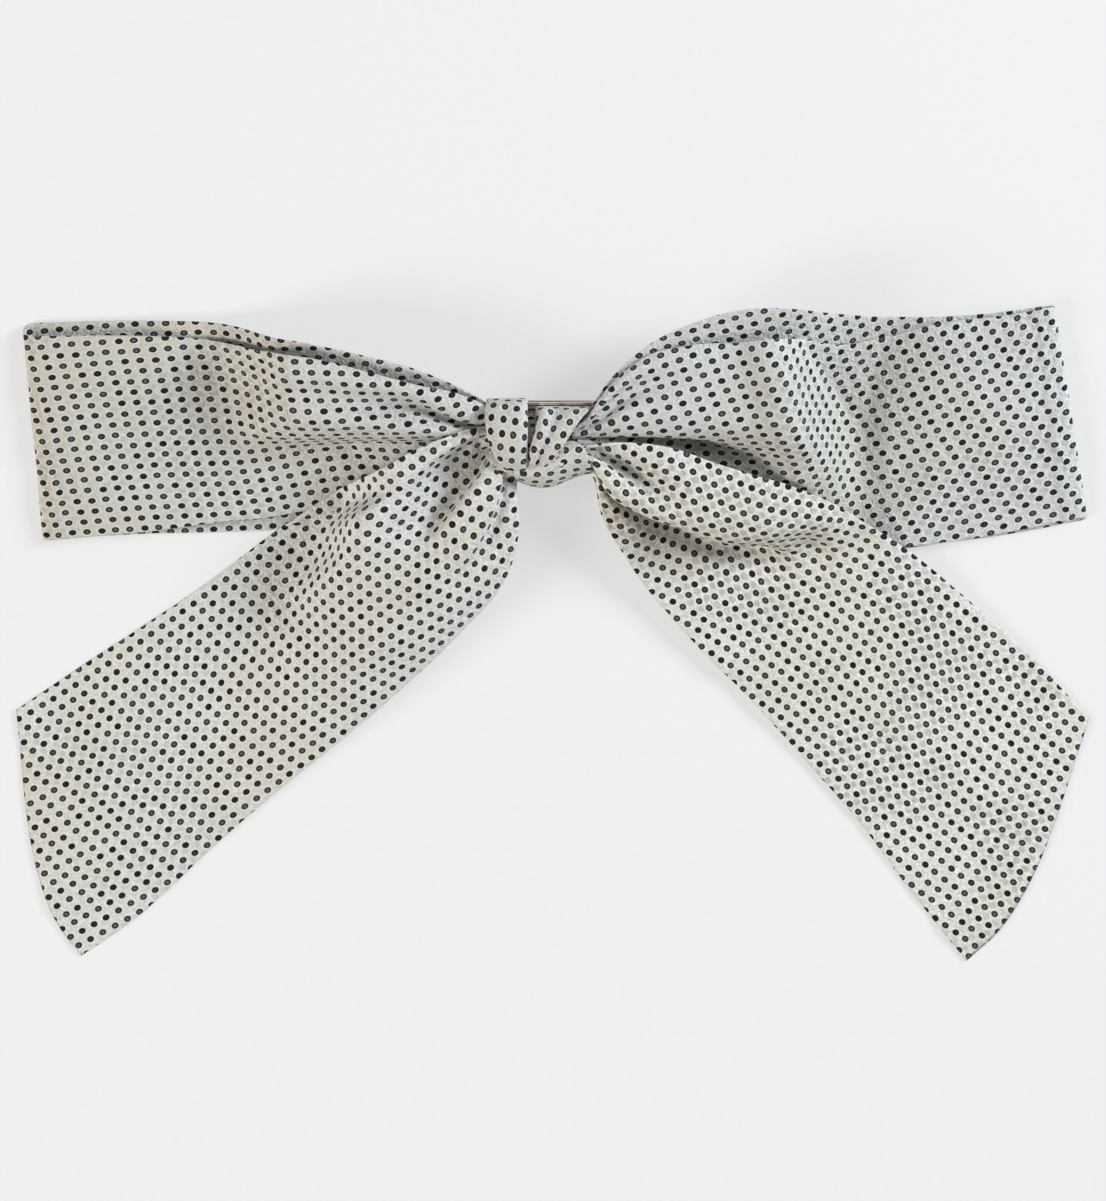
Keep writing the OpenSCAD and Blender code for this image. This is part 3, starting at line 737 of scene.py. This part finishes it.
LEFT_TAIL_OUT = [(-8, 3), (-12.5, 3), (-24, -0.5), (-36.5, -7), (-41, -9), (-45.5, -11), (-54, -16),
                 (-63, -22.5), (-75.5, -32), (-90.5, -42), (-106, -52), (-121, -62)]
LEFT_TAIL_IN = [(-3, -5), (-5, -8), (-5, -21.5), (-10.5, -36), (-17, -43), (-24, -50), (-35, -60),
                (-45.5, -68.7), (-60, -80.3), (-76.3, -94.3), (-92, -109), (-106.5, -119.3)]
LEFT_TAIL_FOLDS = [
    (0.00, 0.0, [14, 15, 16.5, 16.5, 10, 4.5, 2, 1.2, 0.7, 0.6, 0.6, 0.6]),
    (0.12, [0.12, 0.12, 0.1, 0.13, 0.1, 0.1, 0.12, 0.12, 0.12, 0.12, 0.12, 0.12],
     [14, 16.5, 18, 17.5, 13, 6.5, 2.4, 1.4, 0.8, 0.6, 0.6, 0.6]),
    (0.24, [0.22, 0.2, 0.18, 0.22, 0.2, 0.18, 0.22, 0.24, 0.24, 0.24, 0.24, 0.24],
     [13, 14.5, 13, 17, 18.5, 17.5, 5, 2, 1.2, 0.7, 0.6, 0.6]),
    (0.38, [0.38, 0.38, 0.38, 0.38, 0.38, 0.35, 0.35, 0.37, 0.38, 0.38, 0.38, 0.38],
     [12, 10.5, 11, 13.5, 15.5, 18, 14, 4.5, 1.6, 0.9, 0.6, 0.6]),
    (0.46, [0.46, 0.46, 0.45, 0.46, 0.46, 0.45, 0.45, 0.46, 0.46, 0.46, 0.46, 0.46],
     [12, 11, 11.5, 14, 15.8, 16.4, 13.5, 6.6, 2.7, 1, 0.6, 0.6]),
    (0.52, [0.5, 0.5, 0.47, 0.5, 0.52, 0.52, 0.52, 0.52, 0.52, 0.52, 0.52, 0.52],
     [13.5, 15, 16.5, 16.5, 16.2, 16, 13, 7, 3, 1.2, 0.6, 0.6]),
    (0.64, [0.64, 0.64, 0.62, 0.63, 0.64, 0.64, 0.64, 0.64, 0.64, 0.64, 0.64, 0.64],
     [14.5, 16, 17.6, 17.2, 16.5, 15.5, 12.5, 7.5, 3.4, 1.3, 0.7, 0.6]),
    (0.70, [0.7, 0.7, 0.7, 0.71, 0.7, 0.7, 0.7, 0.7, 0.7, 0.7, 0.7, 0.7],
     [14, 16, 17.6, 17.2, 16.3, 15, 12, 7.4, 3.4, 1.3, 0.7, 0.6]),
    (0.76, [0.74, 0.74, 0.73, 0.75, 0.76, 0.76, 0.76, 0.76, 0.76, 0.76, 0.76, 0.76],
     [13, 14, 14.8, 15.6, 15.4, 14.3, 11.4, 7, 3.2, 1.2, 0.7, 0.6]),
    (0.90, [0.88, 0.88, 0.86, 0.89, 0.9, 0.9, 0.9, 0.9, 0.9, 0.9, 0.9, 0.9],
     [13, 13.5, 14, 14, 13, 11.5, 8.5, 5.5, 2.6, 1.1, 0.7, 0.6]),
    (1.00, 1.0, [12.5, 12.5, 12.5, 11.5, 10, 8, 6, 4, 2, 0.9, 0.6, 0.6]),
]

RIGHT_TAIL_OUT = [(7, -2), (11, -1.3), (18.5, -1), (29, -2), (38, -5), (47.5, -8), (58, -11),
                  (66, -14.5), (74, -19), (83, -24.5), (98.5, -37), (113.5, -50.5), (126.5, -64)]
RIGHT_TAIL_IN = [(9, -5), (12, -8.5), (13.8, -17), (18.8, -26), (24.3, -34), (32, -43), (39, -50.5),
                 (46.5, -58), (54, -66), (61, -73.8), (73.5, -88), (85, -103.5), (98.7, -120.5)]
RIGHT_TAIL_FOLDS = [
    (0.00, 0.0, [14.5, 15.5, 17, 17.5, 17, 16, 14.5, 12, 7.5, 4, 1.4, 0.6, 0.6]),
    (0.13, [0.16, 0.16, 0.18, 0.2, 0.2, 0.19, 0.15, 0.12, 0.09, 0.12, 0.12, 0.12, 0.12],
     [14, 14.5, 15.5, 17.5, 18.3, 17.5, 16.5, 12.5, 5.5, 3.6, 1.5, 0.7, 0.6]),
    (0.21, [0.3, 0.3, 0.33, 0.38, 0.36, 0.31, 0.25, 0.17, 0.17, 0.2, 0.21, 0.21, 0.21],
     [13.5, 13, 12.5, 15, 18, 17.5, 16.5, 9, 4.4, 3.4, 1.6, 0.7, 0.6]),
    (0.28, [0.5, 0.5, 0.52, 0.54, 0.48, 0.4, 0.31, 0.2, 0.24, 0.28, 0.28, 0.28, 0.28],
     [15, 16.5, 18, 17.5, 17, 16, 14, 5.5, 4.2, 3.3, 1.6, 0.8, 0.6]),
    (0.33, [0.64, 0.64, 0.68, 0.62, 0.52, 0.44, 0.34, 0.25, 0.3, 0.33, 0.33, 0.33, 0.33],
     [14.5, 15.5, 16.5, 16, 15, 13.5, 11, 4.4, 4, 3.2, 1.6, 0.8, 0.6]),
    (0.40, [0.66, 0.66, 0.67, 0.59, 0.49, 0.42, 0.33, 0.33, 0.38, 0.4, 0.4, 0.4, 0.4],
     [13, 13, 12, 10, 7, 5, 4.2, 4, 3.8, 3, 1.6, 0.8, 0.6]),
    (0.60, [0.76, 0.76, 0.78, 0.74, 0.66, 0.6, 0.56, 0.55, 0.57, 0.6, 0.6, 0.6, 0.6],
     [13, 13, 12.5, 9.5, 5, 4.2, 3.8, 3.6, 3.2, 2.6, 1.4, 0.8, 0.6]),
    (0.82, [0.89, 0.89, 0.9, 0.88, 0.85, 0.82, 0.8, 0.8, 0.81, 0.82, 0.82, 0.82, 0.82],
     [12.8, 12.5, 11.5, 8.8, 5, 3.9, 3.3, 2.9, 2.4, 1.9, 1.1, 0.7, 0.6]),
    (1.00, 1.0, [12.5, 12, 10.5, 8, 5, 3.6, 2.8, 2.2, 1.6, 1.2, 0.8, 0.6, 0.6]),
]

# The dot print of each part of the sash: its two steps along and across the cloth, in mm, how oval
# its dots are, how strongly the under ply's dots show, and how much paler and warmer the cloth is
# there. The paleness is painted light and shade: paler in the tails, for the bright floor shining
# through the sheer cloth, and darker in the stacked loops and the knot. The crepe is stretched on
# the bias in the tails, so the print there is squarer.
PRINTS = {
    "left_loop": (((3.41, 0.06), (-0.58, 2.44)), 1.32, 0.26, -0.085, 0.03),
    "right_loop": (((3.2, 1.2), (-1.15, 2.2)), 1.32, 0.3, -0.07, 0.005),
    "left_tail": (((3.18, 0.02), (-0.67, 2.7)), 1.15, 0.2, 0.03, 0.03),
    "right_tail": (((2.87, 0.17), (-0.47, 2.9)), 1.15, 0.42, 0.11, 0.03),
    "knot": (((3.0, -0.6), (0.7, 2.6)), 1.15, 0.06, -0.09, 0.035),
}
LOOP_WIDE = 50.0                # flat widths of the sash, in the loops and the two tails
LEFT_TAIL_WIDE = 53.0
RIGHT_TAIL_WIDE = 58.0
TAIL_BOW = 5.2                  # how far a tail's cut end curves outwards
EDGE_HOLD = 0.2                 # how firmly the edges and the middle keep their laid place
MIDDLE_HOLD = 0.12
KNOT_HOLD = 0.6                 # how firmly the first row, at the knot, keeps its place
EDGE_SHARE = 1 / 12             # share of the width that counts as edge
LOOP_KNOT_ROWS = 45             # rows over which the knot's hold fades, in a loop and in a tail
TAIL_KNOT_ROWS = 75
FOLD_ROWS = 4                   # rows past a loop's fold that aren't kept off its lower layer
BACK_NET = (140, 50)            # rows and columns of a loop's back and front layer, as laid
FRONT_NET = (160, 50)
TAIL_ROWS = 200                 # rows of a tail, as laid
SASH_SPACING = 1.0              # distance between the rows of the loops and the tails


def joined_layers(lower, upper, turns=5):
    """One strip from a loop's two layers: out along the lower one, round, and back on the upper."""
    gap = upper[-1] - lower[-1]
    out = lower[-1] - lower[-2]
    out /= np.linalg.norm(out, axis=1, keepdims=True)
    reach = np.linalg.norm(gap, axis=1, keepdims=True) / 2
    angles = np.linspace(0, math.pi, turns + 2)[1:-1]
    bend = [lower[-1] + gap * (1 - math.cos(a)) / 2 + out * reach * math.sin(a) for a in angles]
    return np.concatenate([lower, np.array(bend), upper[::-1]])


def strip_hold(grid, knot_rows):
    """How firmly each point keeps its laid place: firmly at the knot and edges, loosely inside."""
    rows, cols = grid.shape[:2]
    share = np.linspace(0, 1, cols)
    near_edge = np.clip(1 - np.minimum(share, 1 - share) / EDGE_SHARE, 0, 1)
    hold = MIDDLE_HOLD + (EDGE_HOLD - MIDDLE_HOLD) * near_edge
    fade = np.clip(1 - np.arange(rows) / knot_rows, 0, 1)[:, None]
    return np.maximum(np.broadcast_to(hold, (rows, cols)), fade * KNOT_HOLD)


def make_loop(name, back, front, ground, seed):
    """A loop of sash from the edges and fold lines of its back and front layer."""
    laid = joined_layers(loft(*back, *BACK_NET), loft(*front, *FRONT_NET))
    laid = evenly(laid, SASH_SPACING)
    flat = flat_of(laid, LOOP_WIDE)
    hold = strip_hold(laid, LOOP_KNOT_ROWS)
    hold = np.maximum(hold, hold[::-1])
    bend = int(np.argmax(abs(laid[..., 0]).mean(axis=1)))
    laid = settle(rippled(laid, seed), flat, hold, ground, (bend + FOLD_ROWS, len(laid)))
    return sash_mesh(name, laid, unfold(laid), SASH_SPACING), laid


def make_tail(name, out, inner, folds, width, ground, seed):
    """A tail of sash from its outer and inner edge and its fold lines."""
    laid = evenly(loft(out, inner, folds, TAIL_ROWS, int(width), TAIL_BOW), SASH_SPACING)
    flat = flat_of(laid, width)
    hold = strip_hold(laid, TAIL_KNOT_ROWS)
    laid = settle(rippled(laid, seed), flat, hold, ground)
    return sash_mesh(name, laid, unfold(laid), SASH_SPACING)


# ------------------------------------------------------------------ the knot
# Strips of the knot: (seen y, z, x of the left edge, x of the right edge), over the knot's top and
# down its front. The wrap starts and ends behind the clip's plate. The crowns are (share of the
# width, height over the strip's middle line).
WRAP = [(-0.6, 10.1, -9.5, -2.9), (2.6, 10.2, -10.4, -2.9), (6.8, 10.2, -11.2, -2.9),
        (8.6, 10.4, -11.8, -2.9), (9.0, 12.0, -12.2, -2.9),
        (8.3, 15.5, -12.4, -2.9), (6.4, 18.6, -12.6, -2.9), (3.6, 20.5, -12.6, -2.9),
        (0.2, 21.2, -12.1, -2.9), (-3.0, 20.9, -11.1, -2.9), (-5.8, 19.4, -9.2, -2.9),
        (-7.6, 17.2, -6.6, -2.8), (-8.7, 14.4, -4.4, -2.2), (-8.9, 11.6, -4.0, -1.8),
        (-6.7, 9.8, -5.0, -2.2), (-3.6, 9.5, -6.5, -2.6), (-0.4, 9.5, -7.4, -2.9)]
FOLD = [(5.2, 12.4, -0.9, 10.6), (6.6, 12.2, -1.1, 11.0), (7.1, 13.8, -1.2, 11.3),
        (6.6, 16.4, -1.2, 11.1), (4.8, 18.8, -1.2, 9.6), (2.4, 20.4, -1.2, 7.8),
        (-0.4, 21.0, -1.9, 6.1), (-3.2, 20.5, -2.6, 4.0), (-5.8, 18.9, -2.6, 1.9),
        (-7.8, 16.4, -2.4, 0.1), (-9.0, 13.4, -2.2, -0.9)]
BAND_TOP = [(10.2, -2.2), (8.2, -0.9), (6.2, -0.6), (2, -3.5), (-2.5, -6.2), (-6.5, -7.2)]
BAND_BOTTOM = [(11.9, -7.7), (9.2, -8.1), (5.8, -9.4), (1.6, -10.9), (-2.6, -10.5), (-6.2, -8.9)]
BAND_FOLDS = [(0.0, 0.0, 16.5), (0.3, 0.3, 18.3), (0.55, 0.6, 17.8), (0.75, 0.88, 15.4),
              (0.88, 1.0, 12.6), (1.0, 0.97, 10.8)]
WRAP_CROWN = [(0.0, -0.9), (0.12, 0.0), (0.5, 0.5), (0.88, 0.1), (1.0, -0.9)]
FOLD_CROWN = [(0.0, -1.2), (0.08, 0.3), (0.2, 0.9), (0.27, 0.2), (0.33, -0.3), (0.65, 0.2), (1.0, 0.0)]
KNOT_SPACING = 0.6              # distance between the rows of the knot's strips
KNOT_NET = (90, 24)             # rows and columns of one, as laid


def make_strip(name, left, right, folds):
    """A short strip of sash in the knot, from its two edges."""
    laid = evenly(loft(left, right, folds, *KNOT_NET), KNOT_SPACING)
    return sash_mesh(name, laid, unfold(laid), KNOT_SPACING)


def make_knot_strip(name, stations, crown):
    """A strip of sash over the front of the knot, crowned across its width."""
    seen = [row[0] for row in stations]
    height = np.array([row[1] for row in stations], float)
    left = [(row[2], y) for row, y in zip(stations, seen)]
    right = [(row[3], y) for row, y in zip(stations, seen)]
    folds = [(share, share, height + rise) for share, rise in crown]
    return make_strip(name, left, right, folds)


CORE_MID = (-2.6, -4.2, 15.6)   # middle of the bundle in the knot
CORE_HALF = (7.8, 7.4, 3.7)     # its half length, half height and half depth
CORE_GRID = (45, 73)            # points along it and round it
CORE_PRINT = 8.0                # how far the print moves for one radian round it


def make_core():
    """The bundle of gathered sash inside the knot, pleated along its length."""
    rows, cols = CORE_GRID
    reach = np.linspace(-1, 1, rows)[:, None]
    x = CORE_MID[0] + CORE_HALF[0] * reach
    turn = np.linspace(0, 2 * math.pi, cols)[None, :]
    pleat = 1 + 0.05 * np.sin(9 * turn + 0.9 * np.sin(x * 0.4)) + 0.03 * np.sin(14 * turn + 1 + x * 0.3)
    waist = 1 - 0.15 * reach**2
    y = CORE_MID[1] + CORE_HALF[1] * pleat * waist * np.cos(turn)
    z = CORE_MID[2] + CORE_HALF[2] * pleat * waist * np.sin(turn)
    points = np.stack(np.broadcast_arrays(x, y, z), axis=-1)
    flat = np.stack(np.broadcast_arrays(x, turn * CORE_PRINT), axis=-1)
    vertices = points[:, :-1].reshape(-1, 3) * MM
    around = cols - 1
    faces = []
    uv = []
    for i in range(rows - 1):
        for j in range(around):
            k = (j + 1) % around
            faces.append([i * around + j, (i + 1) * around + j, (i + 1) * around + k, i * around + k])
            uv += [flat[i, j], flat[i + 1, j], flat[i + 1, j + 1], flat[i, j + 1]]
    for i in (0, rows - 1):
        ring = [i * around + j for j in range(around)]
        faces.append(ring if i == 0 else ring[::-1])
        uv += [flat[i, j] for j in (range(around) if i == 0 else range(around - 1, -1, -1))]
    return mesh_piece("knot_bundle", vertices, faces, np.array(uv))


# ------------------------------------------------------------------ build
make_camera()
make_floor()
make_light()

# One copy of the crepe for each part, each painted paler or darker as painted light and shade.
SASH = {name: sash_material(f"dotted crepe, {name.replace('_', ' ')}", *print_of)
        for name, print_of in PRINTS.items()}

bare = Ground()
left_loop, left_laid = make_loop(
    "left_loop_cloth", (LEFT_BACK_TOP, LEFT_BACK_BOTTOM, LEFT_BACK_FOLDS),
    (LEFT_TOP, LEFT_BOTTOM, LEFT_FOLDS), bare, 3)
right_loop, right_laid = make_loop(
    "right_loop_cloth", (RIGHT_BACK_TOP, RIGHT_BACK_BOTTOM, RIGHT_BACK_FOLDS),
    (RIGHT_TOP, RIGHT_BOTTOM, RIGHT_FOLDS), bare, 4)
over_loops = bare.with_cloth(left_laid).with_cloth(right_laid)
left_tail = make_tail("left_tail_cloth", LEFT_TAIL_OUT, LEFT_TAIL_IN, LEFT_TAIL_FOLDS,
                      LEFT_TAIL_WIDE, over_loops, 5)
right_tail = make_tail("right_tail_cloth", RIGHT_TAIL_OUT, RIGHT_TAIL_IN, RIGHT_TAIL_FOLDS,
                       RIGHT_TAIL_WIDE, over_loops, 6)
wrap = make_knot_strip("knot_wrap_cloth", WRAP, WRAP_CROWN)
fold = make_knot_strip("knot_fold_cloth", FOLD, FOLD_CROWN)
band = make_strip("knot_band_cloth", BAND_TOP, BAND_BOTTOM, BAND_FOLDS)
core = make_core()

# Each sheet of sash: piece, print, CAD node, flat width and length in mm, how it is held and on what.
SHEETS = [
    (left_loop, "left_loop", "left_loop", (50, 229), "folded", ["clip_plate", "knot_bundle"]),
    (right_loop, "right_loop", "right_loop", (50, 248), "folded", ["clip_plate", "knot_bundle"]),
    (left_tail, "left_tail", "left_tail", (53, 155), "laid", ["left_loop_cloth", "knot_bundle"]),
    (right_tail, "right_tail", "right_tail", (58, 151), "laid", ["right_loop_cloth", "knot_bundle"]),
    (wrap, "knot", "knot_wrap", (10, 54), "folded", ["clip_plate", "knot_bundle"]),
    (fold, "knot", "knot_fold", (10, 30), "folded", ["knot_bundle"]),
    (band, "knot", "knot_band", (13, 20), "folded", ["knot_bundle"]),
]
for piece, print_name, node, flat, held, rests_on in SHEETS:
    put_on(piece, SASH[print_name], node)
put_on(core, SASH["knot"], "knot_core")

# The CAD nodes take their slot's material, and the plate the one with pressed grooves painted dark as
# painted shade.
ROSE = ((0.97, 0.89, 0.83, 1), (0.86, 0.76, 0.69, 1), 0.30)
STEEL = ((0.62, 0.60, 0.58, 1), (0.45, 0.44, 0.43, 1), 0.28)
PLATE_GROOVES_WITH_SHADE = [(4.25, 0.2), (3.3, 0.4)]
FINISHES = {
    "rose_metal": metal_material("rose metal", *ROSE),
    "clip_plate": metal_material("rose metal, grooved_painted_shade", *ROSE, PLATE_GROOVES_WITH_SHADE),
    "bare_steel": metal_material("spring steel", *STEEL),
    "sewing_thread": thread_material(),
    "dotted_sash": SASH["knot"],
}
for part in frame["record"]["subparts"]:
    node = frame["nodes"][part["node"]]
    node.data.materials.clear()
    node.data.materials.append(FINISHES.get(part["node"], FINISHES[part["material_slot"]]))
